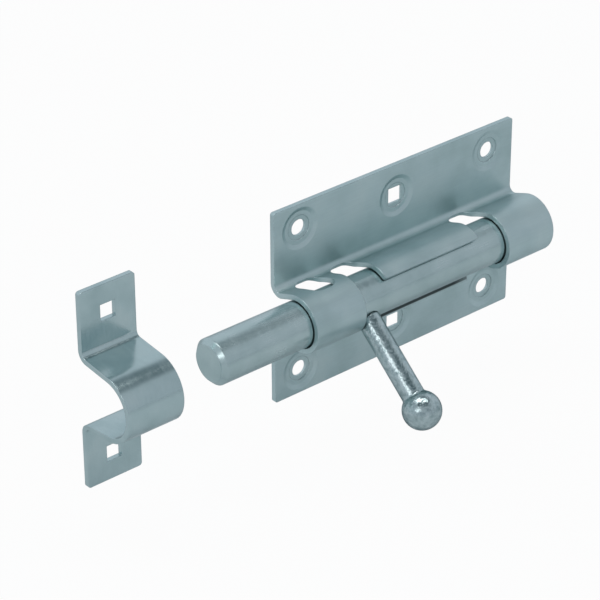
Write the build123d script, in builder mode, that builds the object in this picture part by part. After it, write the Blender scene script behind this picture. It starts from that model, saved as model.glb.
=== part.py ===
from build123d import *
from math import asin, cos, degrees, radians, sin
import os

# A round-bar door bolt of zinc-plated steel, shown thrown, with its strap keeper beside it.
# X runs along the bar and away from the keeper, -Y faces the user and +Z is up.
# The origin is the centre of the plate's back face, which lies on the door.

# sheet metal of the housing and the keeper
sheet = 2.0

# housing plate
plate_length = 120.0
plate_height = 80.0
plate_corner_r = 1.0

# round bar, and where its axis and its nose lie
bar_d = 18.0
bar_length = 156.0
bar_chamfer = 1.8
axis_y = -15.0
nose_out = 41.5

# omega channel: its flanks lean in towards the door, and a bend joins them to the plate
collar_clearance = 0.5
collar_length = 23.5
flank_slope = 20.0
housing_bend_r = 2.5

# window along the front of the channel, between a tongue above it and a lip below it
tongue_length = 47.0
tongue_angle = 50.0
tongue_corner_r = 1.0

# gaps that cross the channel beside the tongue, and the closed slot in the top of the left collar:
# both start this far round the bend, and are cut square to the sheet there
gap_start_angle = 30.0
gap_corner_share = 0.38
slot_length = 12.5
slot_width = 10.5
slot_end_wall = 6.5
slot_corner_r = 4.6

# round screw holes and square carriage bolt holes, each in a dished recess with a ring at the hole
screw_hole_d = 6.5
screw_spacing_x = 95.0
screw_spacing_z = 60.0
square_hole = 6.5
square_spacing_z = 54.0
dimple_d = 17.0
dimple_floor_d = 13.5
dimple_depth = 0.7
dimple_edge_r = 0.4
ring_d = 10.0
ring_depth = 0.3

# turned handle, which swings round the bar's axis and slides along the lip of the window
stem_d = 9.0
ball_d = 15.0
ball_reach = 48.0
ball_neck_r = 1.2
foot_d = 8.0
foot_gap = 0.45
handle_rest_angle = 41.0
stem_play = 0.8
lip_clearance = 0.9
seat_clearance = 0.08

# keeper strap, bent from the same sheet
keeper_width = 24.0
keeper_height = 80.0
keeper_distance = 21.5
keeper_clearance = 2.2
keeper_bend_r = 2.4
keeper_slope = -6.0
keeper_hole_spacing_z = 58.0
keeper_corner_r = 1.2

# values that follow from the sizes above
bar_r = bar_d / 2
stem_r = stem_d / 2
collar_r = bar_r + collar_clearance
window_length = plate_length - 2 * collar_length
gap_width = (window_length - tongue_length) / 2
gap_x = (window_length + tongue_length) / 4
slot_x = slot_end_wall + slot_length / 2 - plate_length / 2
handle_x = stem_play + stem_r - window_length / 2
lip_angle = handle_rest_angle + degrees(asin((stem_r + lip_clearance) / collar_r))
nose_x = -plate_length / 2 - nose_out
keeper_x = nose_x - keeper_distance - keeper_width / 2
cut_reach = collar_r + 4 * sheet
cut_depth = collar_r

# planes of the front faces: one looks out at the user, the other into the sheet
front = Plane(origin=(0, -sheet, 0), x_dir=(1, 0, 0), z_dir=(0, -1, 0))
inward = Plane(origin=(0, -sheet, 0), x_dir=(1, 0, 0), z_dir=(0, 1, 0))


def bend_height(arch_r, bend, slope):
    # height of a bend's centre line over the bar's axis
    lean = radians(slope)
    return (arch_r + sheet + bend + (sheet + bend + axis_y) * sin(lean)) / cos(lean)


def bent_strip(height, arch_r, bend, slope):
    # section of a strip that is flat, bends forward, runs round the bar's axis and is flat again
    outer_r = arch_r + sheet
    lean = radians(slope)
    bend_z = bend_height(arch_r, bend, slope)
    flank = -(axis_y + sheet + bend) * cos(lean) - bend_z * sin(lean)
    with BuildSketch(Plane.YZ) as section:
        with BuildLine():
            upper = Line((-sheet, height / 2), (-sheet, bend_z))
            upper_bend = JernArc(upper @ 1, upper % 1, bend, -90 - slope)
            upper_flank = PolarLine(upper_bend @ 1, flank, direction=upper_bend % 1)
            arch = JernArc(upper_flank @ 1, upper_flank % 1, outer_r, 180 + 2 * slope)
            lower_flank = PolarLine(arch @ 1, flank, direction=arch % 1)
            lower_bend = JernArc(lower_flank @ 1, lower_flank % 1, bend, -90 - slope)
            Line(lower_bend @ 1, (-sheet, -height / 2))
            offset(amount=sheet, side=Side.LEFT)
        make_face()
    return section.sketch


def corner_edges(part, centre_x, length, height):
    # the four short edges at the corners of a flat strip, which run through the sheet
    edges = part.edges().filter_by(Axis.Y)
    edges = edges.filter_by(lambda edge: abs(abs(edge.center().X - centre_x) - length / 2) < 0.01)
    return edges.filter_by(lambda edge: abs(abs(edge.center().Z) - height / 2) < 0.01)


def bend_plane(side):
    # plane across the sheet where the gaps start, above the bar for side 1 and below it for side -1
    bend_z = bend_height(collar_r, housing_bend_r, flank_slope)
    start = radians(gap_start_angle)
    return Plane(
        origin=(0, -sheet - housing_bend_r, side * bend_z),
        x_dir=(1, 0, 0),
        z_dir=(0, side * sin(start), -cos(start)),
    )


def cut_edges(part, distance_x, angle):
    # the radial edges that a cut leaves in the arch at this distance either side of the middle
    edges = part.edges().filter_by(lambda edge: abs(edge.length - sheet) < 0.01)
    edges = edges.filter_by(lambda edge: abs(abs(edge.center().X) - distance_x) < 0.01)
    mid_r = collar_r + sheet / 2
    spot_y = axis_y - mid_r * cos(radians(angle))
    spot_z = mid_r * sin(radians(angle))
    edges = edges.filter_by(lambda edge: abs(edge.center().Y - spot_y) < 0.01)
    return edges.filter_by(lambda edge: abs(edge.center().Z - spot_z) < 0.01)


# housing: plate, channel, window, tongue, slots and screw holes in one pressed sheet
housing_section = bent_strip(plate_height, collar_r, housing_bend_r, flank_slope)
with BuildPart() as housing:
    extrude(housing_section, amount=plate_length / 2, both=True)
    fillet(corner_edges(housing.part, 0, plate_length, plate_height), plate_corner_r)

    # the window runs round the front from the lip to the edge of the tongue
    with BuildSketch(Plane.YZ) as window:
        with BuildLine():
            rim = CenterArc((axis_y, 0), cut_reach, 180 - tongue_angle, tongue_angle + lip_angle)
            Line((axis_y, 0), rim @ 0)
            Line((axis_y, 0), rim @ 1)
        make_face()
    extrude(amount=window_length / 2, both=True, mode=Mode.SUBTRACT)

    # two gaps cross the channel, above and below the bar, for the handle turned up or down
    for side in (1, -1):
        with BuildSketch(bend_plane(side)) as gaps:
            with Locations((-gap_x, 0), (gap_x, 0)):
                Rectangle(gap_width, 2 * cut_reach, align=(Align.CENTER, Align.MIN))
            fillet(gaps.vertices().group_by(Axis.Y)[0], gap_corner_share * gap_width)
        extrude(amount=cut_depth, both=True, mode=Mode.SUBTRACT)
    fillet(cut_edges(housing.part, tongue_length / 2, tongue_angle), tongue_corner_r)
    fillet(cut_edges(housing.part, tongue_length / 2, -lip_angle), tongue_corner_r)

    # one more slot, closed all round, lies in the top of the left collar
    with BuildSketch(bend_plane(1)) as slot:
        with Locations((slot_x, slot_width / 2)):
            RectangleRounded(slot_length, slot_width, slot_corner_r)
    extrude(amount=cut_depth, both=True, mode=Mode.SUBTRACT)

    # dished recesses, a shallow ring in the floor of each, and the holes
    with Locations(inward):
        with GridLocations(screw_spacing_x, screw_spacing_z, 2, 2):
            Cone(
                dimple_d / 2,
                dimple_floor_d / 2,
                dimple_depth,
                align=(Align.CENTER, Align.CENTER, Align.MIN),
                mode=Mode.SUBTRACT,
            )
        with GridLocations(0, square_spacing_z, 1, 2):
            Cone(
                dimple_d / 2,
                dimple_floor_d / 2,
                dimple_depth,
                align=(Align.CENTER, Align.CENTER, Align.MIN),
                mode=Mode.SUBTRACT,
            )
    recess_edges = housing.edges().filter_by(GeomType.CIRCLE)
    recess_edges = recess_edges.filter_by(lambda edge: abs(edge.radius - dimple_d / 2) < 0.01)
    fillet(recess_edges, dimple_edge_r)
    with BuildSketch(front) as rings:
        with GridLocations(screw_spacing_x, screw_spacing_z, 2, 2):
            Circle(ring_d / 2)
        with GridLocations(0, square_spacing_z, 1, 2):
            Circle(ring_d / 2)
    extrude(amount=-(dimple_depth + ring_depth), mode=Mode.SUBTRACT)
    with BuildSketch(front) as holes:
        with GridLocations(screw_spacing_x, screw_spacing_z, 2, 2):
            Circle(screw_hole_d / 2)
        with GridLocations(0, square_spacing_z, 1, 2):
            Rectangle(square_hole, square_hole)
    extrude(amount=-sheet, mode=Mode.SUBTRACT)

# round bar with a bevelled nose, running in both collars
with BuildPart() as bolt_bar:
    with BuildSketch(Plane.YZ.offset(nose_x)) as bar_section:
        with Locations((axis_y, 0)):
            Circle(bar_r)
    extrude(amount=bar_length)
    chamfer(bolt_bar.edges().filter_by(GeomType.CIRCLE), bar_chamfer)

# handle: a round stem and a ball, with a narrower hollow foot that fits the bar
tilt = radians(handle_rest_angle)
handle_plane = Plane(origin=(handle_x, axis_y, 0), x_dir=(1, 0, 0), z_dir=(0, -cos(tilt), -sin(tilt)))
with BuildPart() as handle:
    with BuildSketch(handle_plane) as stem_section:
        Circle(stem_r)
    extrude(amount=ball_reach)
    with Locations(handle_plane.offset(ball_reach)):
        Sphere(ball_d / 2)
    neck = handle.edges().filter_by(GeomType.CIRCLE).filter_by(lambda edge: abs(edge.radius - stem_r) < 0.01)
    fillet(neck.sort_by_distance(handle_plane.origin)[-1], ball_neck_r)
    with BuildSketch(Plane.YZ.offset(handle_x)) as undercut:
        with Locations((axis_y, 0)):
            Circle(bar_r + foot_gap)
    extrude(amount=stem_d, both=True, mode=Mode.SUBTRACT)
    with BuildSketch(handle_plane) as foot:
        Circle(foot_d / 2)
    extrude(amount=bar_r + 2 * foot_gap)
    with BuildSketch(Plane.YZ.offset(handle_x)) as bar_seat:
        with Locations((axis_y, 0)):
            Circle(bar_r + seat_clearance)
    extrude(amount=stem_d, both=True, mode=Mode.SUBTRACT)

# keeper: a strap bent round the bar's path, with a square hole in each foot
keeper_section = bent_strip(keeper_height, bar_r + keeper_clearance, keeper_bend_r, keeper_slope)
with BuildPart() as keeper:
    with Locations((keeper_x, 0, 0)):
        add(extrude(keeper_section, amount=keeper_width / 2, both=True, mode=Mode.PRIVATE))
    fillet(corner_edges(keeper.part, keeper_x, keeper_width, keeper_height), keeper_corner_r)
    with BuildSketch(front) as keeper_holes:
        with Locations((keeper_x, 0)):
            with GridLocations(0, keeper_hole_spacing_z, 1, 2):
                Rectangle(square_hole, square_hole)
    extrude(amount=-sheet, mode=Mode.SUBTRACT)

housing.part.label = "housing"
bolt_bar.part.label = "bolt_bar"
handle.part.label = "handle"
keeper.part.label = "keeper"

os.makedirs("parts", exist_ok=True)
export_step(housing.part, "parts/housing.step")
export_step(bolt_bar.part, "parts/bolt_bar.step")
export_step(handle.part, "parts/handle.step")
export_step(keeper.part, "parts/keeper.step")
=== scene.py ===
import bpy
import math
from mathutils import Matrix, Vector


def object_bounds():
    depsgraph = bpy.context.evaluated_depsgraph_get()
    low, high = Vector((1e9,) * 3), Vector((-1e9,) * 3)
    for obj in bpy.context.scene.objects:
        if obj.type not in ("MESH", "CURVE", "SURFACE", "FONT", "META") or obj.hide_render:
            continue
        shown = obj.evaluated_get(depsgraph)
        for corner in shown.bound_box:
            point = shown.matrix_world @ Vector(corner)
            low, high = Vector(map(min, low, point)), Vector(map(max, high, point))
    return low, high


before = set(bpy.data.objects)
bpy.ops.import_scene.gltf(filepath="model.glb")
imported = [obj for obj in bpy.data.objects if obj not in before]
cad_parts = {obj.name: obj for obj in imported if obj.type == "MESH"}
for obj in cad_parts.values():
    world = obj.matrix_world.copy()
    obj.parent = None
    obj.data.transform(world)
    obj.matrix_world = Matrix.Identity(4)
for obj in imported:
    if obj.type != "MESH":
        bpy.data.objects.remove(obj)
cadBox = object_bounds()
print("frame loaded:", ", ".join(sorted(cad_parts)))

mmPerMetre = 1000.0


def fromHex(code):  # an sRGB colour as Blender's linear one
    parts = [int(code[place:place + 2], 16) / 255 for place in (1, 3, 5)]
    curved = [part / 12.92 if part <= 0.04045 else ((part + 0.055) / 1.055) ** 2.4
              for part in parts]
    return (*curved, 1.0)


def perMetre(size):  # a pattern's size in millimetres as a texture scale
    return mmPerMetre / size


def addNode(tree, kind, settings=None, links=None):
    node = tree.nodes.new("ShaderNode" + kind)
    for name, value in (settings or {}).items():
        if name == "stops":  # a colour ramp's places and colours
            points = node.color_ramp.elements
            while len(points) < len(value):
                points.new(0.5)
            for point, (place, colour) in zip(points, value):
                point.position = place
                point.color = colour
        elif isinstance(name, str) and hasattr(node, name):
            setattr(node, name, value)
        else:
            node.inputs[name].default_value = value
    for name, source in (links or {}).items():
        tree.links.new(source, node.inputs[name])
    return node


def emptyMaterial(name):
    material = bpy.data.materials.new(name)
    material.use_nodes = True
    material.node_tree.nodes.clear()
    return material


camera = {
    "place": (-0.60836, -0.65902, 0.49988),
    "heading": 40.476,   # degrees from +Y towards +X
    "down": 30.063,      # degrees below level
    "roll": -0.271,
    "lens": 162.22,      # millimetres
    "film": 36.0,        # width of the frame in millimetres
    "nearest": 0.01,     # metres before the lens from which things show
}


def makeCamera(look):
    data = bpy.data.cameras.new("camera")
    data.sensor_width = look["film"]
    data.lens = look["lens"]
    data.clip_start = look["nearest"]
    eye = bpy.data.objects.new("camera", data)
    bpy.context.scene.collection.objects.link(eye)
    turn = Matrix.Rotation(-math.radians(look["heading"]), 4, "Z")
    tilt = Matrix.Rotation(math.radians(90.0 - look["down"]), 4, "X")
    roll = Matrix.Rotation(math.radians(look["roll"]), 4, "Z")
    eye.matrix_world = Matrix.Translation(look["place"]) @ turn @ tilt @ roll
    bpy.context.scene.camera = eye


makeCamera(camera)
print("camera placed")

studio = {
    "floorSize": 6.0,
    "floorSides": 96,
    "floorDrop": 0.0165,     # below the plate, clear of the ball when the handle hangs down
    "paper": "#E6E8E9",
    "paperGlow": 0.96,       # share of plain white that the eye sees on the floor
    "mirrorTint": "#DCE8EA",
    "mirrorGlow": 0.08,      # and the share of this tint that the metal sees in it
    "wall": "#C6CFD7",
    "shoulder": "#C0C9D0",
    "ceiling": "#69787F",
    "heights": (0.50, 0.76, 0.83),   # of those three, as sines of the angle above level
    "zenith": (0.0, -0.06, 0.998),   # the middle of the ceiling
    "frontShade": 0.76,      # brightness in front, as a share of that behind
    "shadeSpan": (-0.8, 0.5),        # full shade and none, from front to back
}


def makeFloor(look):
    low, high = cadBox
    middle = ((low.x + high.x) / 2, (low.y + high.y) / 2, low.z - look["floorDrop"])
    bpy.ops.object.select_all(action="DESELECT")
    bpy.ops.mesh.primitive_circle_add(vertices=look["floorSides"], radius=look["floorSize"] / 2,
                                      fill_type="NGON", location=middle)
    bpy.ops.object.transform_apply(location=True, rotation=True, scale=True)
    floor = bpy.context.active_object
    floor.name = "floor"
    # Matt white background paper: it takes the shadow, and looks nearly pure white to the eye.
    paper = emptyMaterial("white_paper")
    tree = paper.node_tree
    path = addNode(tree, "LightPath")
    mirrored = addNode(tree, "Math", {"operation": "MULTIPLY", 1: look["mirrorGlow"]},
                       {0: path.outputs["Is Glossy Ray"]})
    share = addNode(tree, "Math", {"operation": "MULTIPLY_ADD", 1: look["paperGlow"]},
                    {0: path.outputs["Is Camera Ray"], 2: mirrored.outputs[0]})
    # a colour mix has its share in socket 0 and its two colours in 6 and 7, and gives output 2
    tint = addNode(tree, "Mix",
                   {"data_type": "RGBA", 6: fromHex("#FFFFFF"), 7: fromHex(look["mirrorTint"])},
                   {0: path.outputs["Is Glossy Ray"]})
    matt = addNode(tree, "BsdfDiffuse", {"Color": fromHex(look["paper"])})
    white = addNode(tree, "Emission", {"Strength": 1.0}, {"Color": tint.outputs[2]})
    mixed = addNode(tree, "MixShader", {},
                    {0: share.outputs[0], 1: matt.outputs[0], 2: white.outputs[0]})
    addNode(tree, "OutputMaterial", {}, {"Surface": mixed.outputs[0]})
    floor.data.materials.append(paper)


def makeRoom(look):
    room = bpy.data.worlds.new("room")
    bpy.context.scene.world = room
    room.use_nodes = True
    tree = room.node_tree
    tree.nodes.clear()
    way = addNode(tree, "TexCoord")
    parts = addNode(tree, "SeparateXYZ", {}, {0: way.outputs["Generated"]})
    # White walls low down, which turn to a grey ceiling that leans a little to the front,
    # as in a small photo studio.
    high = addNode(tree, "VectorMath", {"operation": "DOT_PRODUCT", 1: look["zenith"]},
                   {0: way.outputs["Generated"]})
    colours = [fromHex(look[part]) for part in ("wall", "shoulder", "ceiling")]
    rise = addNode(tree, "ValToRGB", {"stops": list(zip(look["heights"], colours))},
                   {0: high.outputs["Value"]})
    front, back = look["shadeSpan"]
    depth = addNode(tree, "MapRange",
                    {"From Min": front, "From Max": back, "To Min": look["frontShade"]},
                    {"Value": parts.outputs["Y"]})
    light = addNode(tree, "Background", {},
                    {"Color": rise.outputs[0], "Strength": depth.outputs[0]})
    addNode(tree, "OutputWorld", {}, {"Surface": light.outputs[0]})


# Each lamp: place and target in metres, width and height of its cloth, the heading of its
# width in degrees from +X towards +Y, and its glow as seen, where 1 is white.
lamps = {
    "overhead": {
        "place": (-0.10, 0.04, 1.0), "target": (-0.03, -0.03, 0.0),
        "size": (1.0, 0.3), "heading": -40.0, "glow": 2.6,
    },
    "leftStrip": {
        "place": (-0.90, -0.40, 0.52), "target": (-0.03, -0.03, 0.0),
        "size": (0.20, 0.45), "heading": 65.0, "glow": 1.7,
    },
}


def makeLamp(name, look):
    data = bpy.data.lights.new(name, "AREA")
    data.shape = "RECTANGLE"
    data.size, data.size_y = look["size"]
    data.energy = look["glow"] * math.pi * data.size * data.size_y
    lamp = bpy.data.objects.new(name, data)
    bpy.context.scene.collection.objects.link(lamp)
    away = (Vector(look["place"]) - Vector(look["target"])).normalized()
    heading = math.radians(look["heading"])
    across = Vector((math.cos(heading), math.sin(heading), 0.0))
    up = away.cross(across).normalized()
    turn = Matrix((up.cross(away), up, away)).transposed().to_4x4()
    lamp.matrix_world = Matrix.Translation(look["place"]) @ turn
    lamp.visible_camera = False


makeFloor(studio)
makeRoom(studio)
for lampName, lampLook in lamps.items():
    makeLamp(lampName, lampLook)
print("studio lit")

# What all four pieces share: bright zinc electroplate with a blue passivation over mild steel.
# It gives a cool grey-green metal, a little clouded, with the base metal's own grain showing
# through as fine satin lines.
zinc = {
    "noiseSpan": (0.3, 0.7),      # most of a noise's values lie between these
    "wearSpan": (0.995, 0.90),    # cosine from rounded to true normal: wear starts, wear is full
    "rubbedSpan": (0.35, 0.60),   # specks that are rubbed least and most
    "rubbedLeast": 0.35,
    "shadeOpenSpan": (0.35, 0.80),     # how open a gap is where the painted shade is fullest, and where it ends
    "feelers": 6,                 # rays that feel for edges and gaps
}


def zincMaterial(name, look):
    material = emptyMaterial(name)
    tree = material.node_tree
    low, high = zinc["noiseSpan"]
    place = addNode(tree, "TexCoord")
    turned = addNode(tree, "Mapping",
                     {"vector_type": "TEXTURE", "Rotation": (math.radians(look["turn"]), 0.0, 0.0)},
                     {"Vector": place.outputs["Object"]})

    # clouds in the passivation, about two centimetres across, and small ones on the handle
    cloud = addNode(tree, "TexNoise",
                    {"Scale": perMetre(look["cloudSize"]), "Detail": 4.0, "Roughness": 0.55},
                    {"Vector": turned.outputs[0]})
    # lines left by rolling, drawing or turning, long one way and fine the other
    stretched = addNode(tree, "Mapping", {"Scale": tuple(perMetre(size) for size in look["grain"])},
                        {"Vector": turned.outputs[0]})
    grain = addNode(tree, "TexNoise", {"Scale": 1.0, "Detail": 5.0, "Roughness": 0.6},
                    {"Vector": stretched.outputs[0]})
    # the zinc's own crystals, drawn coarser than the few hundredths of a millimetre that they are
    speck = addNode(tree, "TexNoise",
                    {"Scale": perMetre(look["speckSize"]), "Detail": 3.0, "Roughness": 0.6},
                    {"Vector": turned.outputs[0]})
    # waves of the metal under the plating, which break up what it mirrors
    wave = addNode(tree, "TexNoise",
                   {"Scale": perMetre(look["waveSize"]), "Detail": 2.0, "Roughness": 0.45},
                   {"Vector": turned.outputs[0]})

    colour = addNode(tree, "ValToRGB", {"stops": [
        (low, fromHex(look["dark"])),
        ((low + high) / 2, fromHex(look["middle"])),
        (high, fromHex(look["light"])),
    ]}, {0: cloud.outputs[0]})
    lined = addNode(tree, "MapRange",
                    {"From Min": low, "From Max": high,
                     "To Min": 1.0 - look["lineTone"], "To Max": 1.0 + look["lineTone"]},
                    {"Value": grain.outputs[0]})
    toned = addNode(tree, "VectorMath", {"operation": "SCALE"},
                    {0: colour.outputs[0], "Scale": lined.outputs[0]})

    # worn edges: where the rounded normal leaves the true one, the zinc is rubbed bright; the
    # lighter edge colour there is also a painted highlight
    rounded = addNode(tree, "Bevel", {"samples": zinc["feelers"],
                                      "Radius": look["edgeRound"] / mmPerMetre})
    truth = addNode(tree, "NewGeometry")
    agree = addNode(tree, "VectorMath", {"operation": "DOT_PRODUCT"},
                    {0: rounded.outputs[0], 1: truth.outputs["Normal"]})
    wearStart, wearFull = zinc["wearSpan"]
    edge = addNode(tree, "MapRange", {"From Min": wearStart, "From Max": wearFull},
                   {"Value": agree.outputs["Value"]})
    rubbedFrom, rubbedTo = zinc["rubbedSpan"]
    rubbed = addNode(tree, "MapRange",
                     {"From Min": rubbedFrom, "From Max": rubbedTo, "To Min": zinc["rubbedLeast"]},
                     {"Value": speck.outputs[0]})
    wornAndSheen = addNode(tree, "Math", {"operation": "MULTIPLY"},
                   {0: edge.outputs[0], 1: rubbed.outputs[0]})
    wornSheenShare = addNode(tree, "Math", {"operation": "MULTIPLY", 1: look["edgeWear"]},
                        {0: wornAndSheen.outputs[0]})
    final = addNode(tree, "Mix", {"data_type": "RGBA", 7: fromHex(look["edge"])},
                    {0: wornSheenShare.outputs[0], 6: toned.outputs[0]})

    # painted shade: the colour darkens in narrow gaps and crevices, where little light reaches
    hidden = addNode(tree, "AmbientOcclusion", {"samples": zinc["feelers"],
                                                "Distance": look["gapShadeReach"] / mmPerMetre})
    shadeFull, clear = zinc["shadeOpenSpan"]
    gapShade = addNode(tree, "MapRange",
                    {"From Min": shadeFull, "From Max": clear, "To Min": look["gapShadeTone"]},
                    {"Value": hidden.outputs["AO"]})
    shown = addNode(tree, "VectorMath", {"operation": "SCALE"},
                    {0: final.outputs[2], "Scale": gapShade.outputs[0]})
    if "lip" in look:
        # painted shade on the sheared edge of the lip, a radial face at one angle round the bar: it
        # darkens the slit beside the bar, and thins out towards the right
        lip = look["lip"]
        slitEnd, slitFull = lip["radii"]
        fadeEnd, fadeFull = lip["fade"]
        axes = addNode(tree, "SeparateXYZ", {}, {0: place.outputs["Object"]})
        reach = addNode(tree, "Math", {"operation": "MULTIPLY_ADD", 1: -1.0, 2: lip["barAxis"]},
                        {0: axes.outputs["Y"]})
        across = addNode(tree, "CombineXYZ", {}, {"Y": reach.outputs[0], "Z": axes.outputs["Z"]})
        angle = addNode(tree, "Math", {"operation": "ARCTAN2"},
                        {0: axes.outputs["Z"], 1: reach.outputs[0]})
        sheared = addNode(tree, "Math", {"operation": "COMPARE", 1: math.radians(lip["angle"]),
                                         2: lip["spread"]}, {0: angle.outputs[0]})
        radius = addNode(tree, "VectorMath", {"operation": "LENGTH"}, {0: across.outputs[0]})
        inner = addNode(tree, "MapRange", {"From Min": slitEnd, "From Max": slitFull},
                        {"Value": radius.outputs["Value"]})
        slit = addNode(tree, "Math", {"operation": "MULTIPLY"},
                       {0: sheared.outputs[0], 1: inner.outputs[0]})
        near = addNode(tree, "MapRange", {"From Min": fadeEnd, "From Max": fadeFull},
                       {"Value": axes.outputs["X"]})
        slitShade = addNode(tree, "Math", {"operation": "MULTIPLY"},
                        {0: slit.outputs[0], 1: near.outputs[0]})
        slitShadeFactor = addNode(tree, "MapRange", {"To Min": 1.0, "To Max": lip["slitShadeTone"]},
                           {"Value": slitShade.outputs[0]})
        shown = addNode(tree, "VectorMath", {"operation": "SCALE"},
                        {0: shown.outputs[0], "Scale": slitShadeFactor.outputs[0]})

    # clouds and lines make the gloss uneven, and worn edges are smoother
    glossy, satin = look["gloss"]
    gloss = addNode(tree, "MapRange",
                    {"From Min": low, "From Max": high, "To Min": glossy, "To Max": satin},
                    {"Value": cloud.outputs[0]})
    fine = addNode(tree, "MapRange",
                   {"From Min": low, "From Max": high,
                    "To Min": -look["glossGrain"], "To Max": look["glossGrain"]},
                   {"Value": grain.outputs[0]})
    even = addNode(tree, "Math", {"operation": "ADD"}, {0: gloss.outputs[0], 1: fine.outputs[0]})
    rough = addNode(tree, "Math", {"operation": "MULTIPLY_ADD", 1: -look["edgeShine"]},
                    {0: wornAndSheen.outputs[0], 2: even.outputs[0]})

    normal = rounded.outputs[0]
    for height, depth in ((wave, "waveDepth"), (grain, "grainDepth"), (speck, "speckDepth")):
        bump = addNode(tree, "Bump", {"Strength": 1.0, "Distance": look[depth] / mmPerMetre},
                       {"Height": height.outputs[0], "Normal": normal})
        normal = bump.outputs[0]

    skin = addNode(tree, "BsdfPrincipled", {"Metallic": 1.0, "Specular Tint": fromHex(look["rim"])},
                   {"Base Color": shown.outputs[0], "Roughness": rough.outputs[0],
                    "Normal": normal})
    addNode(tree, "OutputMaterial", {}, {"Surface": skin.outputs[0]})
    return material


# In the four dictionaries below, "turn" is the pattern's angle in degrees round the bar, sizes,
# depths, "edgeRound" and "gapShadeReach" are in millimetres, "grain" is the lines' length and width
# along X, Y and Z, "gloss" is the roughness from the clouds' dark parts to their light ones,
# tones are brightness and "rim" is the colour at a glancing angle. "gapShadeTone" is the painted
# shade in the narrowest gaps, and "edge" is the colour of worn edges, partly a painted highlight.

# Housing: cold-rolled sheet, blanked and pressed, then plated. Its rolling lines run along the
# plate and give a soft satin sheen.
housingLook = {
    "turn": 0.0,
    "cloudSize": 22.0, "grain": (9.0, 0.35, 0.35), "speckSize": 0.45, "waveSize": 7.0,
    "dark": "#BED2D2", "middle": "#CCDEDF", "light": "#D7E6E6",
    "edge": "#D5E1E3", "rim": "#E2E4E4",
    "lineTone": 0.03, "edgeRound": 0.45, "edgeWear": 0.3, "edgeShine": 0.22,
    "gapShadeReach": 2.5, "gapShadeTone": 0.75,
    "gloss": (0.36, 0.44), "glossGrain": 0.03,
    "waveDepth": 0.06, "grainDepth": 0.003, "speckDepth": 0.001,
    "lip": {
        "barAxis": -0.015,           # Y of the bar's axis
        "angle": -75.63,             # degrees above level, seen from that axis
        "spread": 0.004,             # radians by which the face may miss it
        "radii": (0.0112, 0.0108),   # from the axis, where the painted shade ends and where it is full
        "fade": (0.036, 0.016),      # along X, the same
        # brightness of the painted shade in the slit
        "slitShadeTone": 0.12,
    },
}

# Bar: cold-drawn bright bar, cut and chamfered, then plated. The drawing lines run along it, and
# it mirrors the room in soft stripes.
barLook = {
    "turn": 0.0,
    "cloudSize": 16.0, "grain": (14.0, 0.4, 0.4), "speckSize": 0.5, "waveSize": 2.6,
    "dark": "#BACDCD", "middle": "#C8D9D9", "light": "#D3E2E2",
    "edge": "#D8E3E5", "rim": "#E2E4E4",
    "lineTone": 0.03, "edgeRound": 0.7, "edgeWear": 0.5, "edgeShine": 0.10,
    "gapShadeReach": 2.5, "gapShadeTone": 0.90,
    "gloss": (0.20, 0.28), "glossGrain": 0.02,
    "waveDepth": 0.05, "grainDepth": 0.008, "speckDepth": 0.002,
}

# Handle: turned in one piece on a lathe and plated bright. Its tool marks run round the stem, so
# the pattern is turned with it to where it rests. Small uneven waves give it broken highlights.
handleLook = {
    "turn": -41.0,
    "cloudSize": 2.4, "grain": (5.0, 0.35, 5.0), "speckSize": 0.5, "waveSize": 1.2,
    "dark": "#9DAFB1", "middle": "#C4D3D4", "light": "#D9E4E5",
    "edge": "#D4DFE1", "rim": "#B8BCBD",
    "lineTone": 0.06, "edgeRound": 0.3, "edgeWear": 0.3, "edgeShine": 0.04,
    "gapShadeReach": 2.5, "gapShadeTone": 0.60,
    "gloss": (0.17, 0.27), "glossGrain": 0.03,
    "waveDepth": 0.17, "grainDepth": 0.006, "speckDepth": 0.008,
}

# Keeper: strip of the same sheet, bent over a former. The rolling lines run along the strip, over
# the arch, and it is glossier than the housing.
keeperLook = {
    "turn": 0.0,
    "cloudSize": 18.0, "grain": (0.35, 9.0, 9.0), "speckSize": 0.45, "waveSize": 7.0,
    "dark": "#B9CDCE", "middle": "#C8DADB", "light": "#D4E2E2",
    "edge": "#D5E1E3", "rim": "#E2E4E4",
    "lineTone": 0.03, "edgeRound": 0.45, "edgeWear": 0.3, "edgeShine": 0.12,
    "gapShadeReach": 2.5, "gapShadeTone": 0.70,
    "gloss": (0.15, 0.23), "glossGrain": 0.03,
    "waveDepth": 0.04, "grainDepth": 0.003, "speckDepth": 0.001,
}

finishes = {
    "housing": ("pressed_zinc_sheet", housingLook),
    "bolt_bar": ("drawn_zinc_bar", barLook),
    "handle": ("turned_zinc_handle", handleLook),
    "keeper": ("bent_zinc_strap", keeperLook),
}
for node, (finishName, finishLook) in finishes.items():
    finish = zincMaterial(finishName, finishLook)
    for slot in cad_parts[node].material_slots:
        slot.material = finish
print("finishes on:", ", ".join(finishes))

bpy.context.scene.view_settings.view_transform = "Standard"
